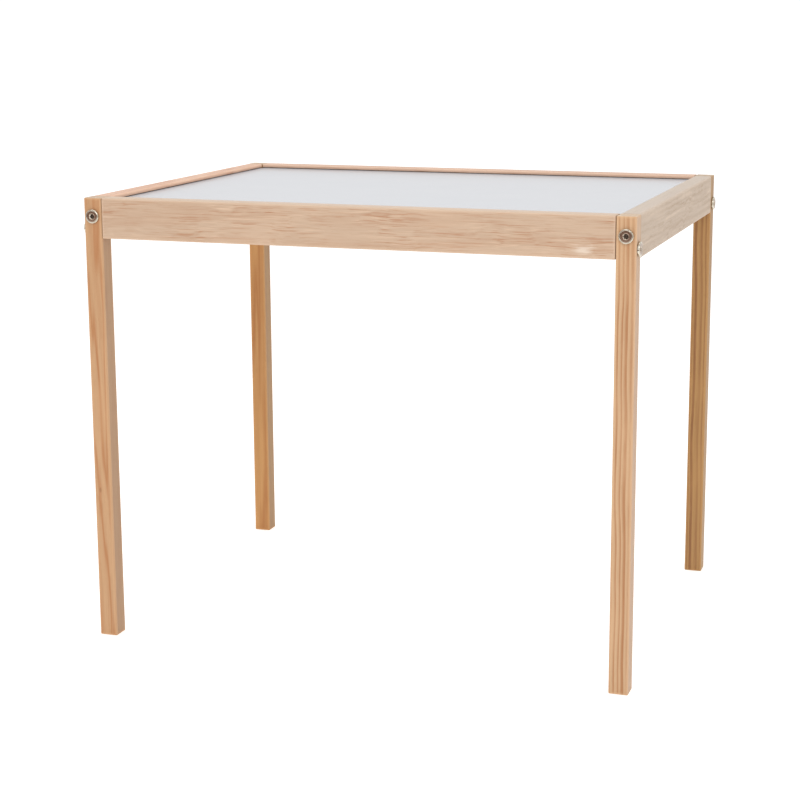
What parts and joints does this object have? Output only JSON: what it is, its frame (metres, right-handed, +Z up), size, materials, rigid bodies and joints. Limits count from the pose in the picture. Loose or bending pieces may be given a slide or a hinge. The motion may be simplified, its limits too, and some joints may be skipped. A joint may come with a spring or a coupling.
{
  "type": "light box",
  "caption": "Low pine leg-and-rail table whose frame holds a recessed opal light panel over a shallow lit tray, with an underside rocker switch and a rear power inlet.",
  "frame": {"origin": "centre of the table's footprint, at the level of the legs' feet", "axes": "+X along the long rails, to the right seen from the front; +Y from the front rail to the rear rail; +Z up"},
  "size_m": [0.5936, 0.4476, 0.48],
  "materials": {
    "leg_wood": "clear-lacquered pine, straight orange-brown grain lines",
    "rail_wood": "pale fine-flecked softwood, satin, planed and lightly rounded",
    "dowel_wood": "dry fluted beech",
    "opal_panel": "white opal, semi-gloss",
    "white_hardboard": "thin white-faced hardboard, matt",
    "bolt_nickel": "bright nickel plate",
    "nut_zinc": "bright zinc plate",
    "light_bar": "white solder mask with clear lenses",
    "driver_case": "moulded white plastic",
    "black_plastic": "moulded black plastic, fine texture",
    "rocker_plastic": "moulded black plastic, semi-gloss",
    "lead_jacket": "white flexible jacket"
  },
  "bodies": {
    "frame": {"leg_front_left": "leg_wood", "leg_front_right": "leg_wood", "leg_rear_left": "leg_wood", "leg_rear_right": "leg_wood", "rail_front": "rail_wood", "rail_rear": "rail_wood", "rail_left": "rail_wood", "rail_right": "rail_wood", "bolt_face_front_left": "bolt_nickel", "bolt_side_front_left": "bolt_nickel", "bolt_face_front_right": "bolt_nickel", "bolt_side_front_right": "bolt_nickel", "bolt_face_rear_left": "bolt_nickel", "bolt_side_rear_left": "bolt_nickel", "bolt_face_rear_right": "bolt_nickel", "bolt_side_rear_right": "bolt_nickel", "barrel_nut_face_front_left": "nut_zinc", "barrel_nut_side_front_left": "nut_zinc", "barrel_nut_face_front_right": "nut_zinc", "barrel_nut_side_front_right": "nut_zinc", "barrel_nut_face_rear_left": "nut_zinc", "barrel_nut_side_rear_left": "nut_zinc", "barrel_nut_face_rear_right": "nut_zinc", "barrel_nut_side_rear_right": "nut_zinc", "dowel_face_front_left": "dowel_wood", "dowel_side_front_left": "dowel_wood", "dowel_face_front_right": "dowel_wood", "dowel_side_front_right": "dowel_wood", "dowel_face_rear_left": "dowel_wood", "dowel_side_rear_left": "dowel_wood", "dowel_face_rear_right": "dowel_wood", "dowel_side_rear_right": "dowel_wood", "diffuser_panel": "opal_panel", "base_board": "white_hardboard", "base_screw_1": "nut_zinc", "base_screw_2": "nut_zinc", "base_screw_3": "nut_zinc", "base_screw_4": "nut_zinc", "base_screw_5": "nut_zinc", "base_screw_6": "nut_zinc", "base_screw_7": "nut_zinc", "base_screw_8": "nut_zinc", "led_bar_1": "light_bar", "led_bar_2": "light_bar", "led_bar_3": "light_bar", "led_bar_4": "light_bar", "led_driver": "driver_case", "switch_housing": "black_plastic", "inlet_socket": "black_plastic", "inlet_nut": "bolt_nickel", "lead_bar_1_2": "lead_jacket", "lead_bar_2_3": "lead_jacket", "lead_bar_3_4": "lead_jacket", "lead_driver_bar_1": "lead_jacket", "lead_switch_driver": "lead_jacket", "lead_inlet_switch": "lead_jacket"},
    "rocker": {"switch_rocker": "rocker_plastic"}
  },
  "joints": [
    {"name": "switch_rock", "type": "hinge", "parent": "frame", "child": "rocker", "pos_m": [0.225, -0.178, 0.4388], "axis": [0, 1, 0], "range_deg": [0, 18]}
  ]
}
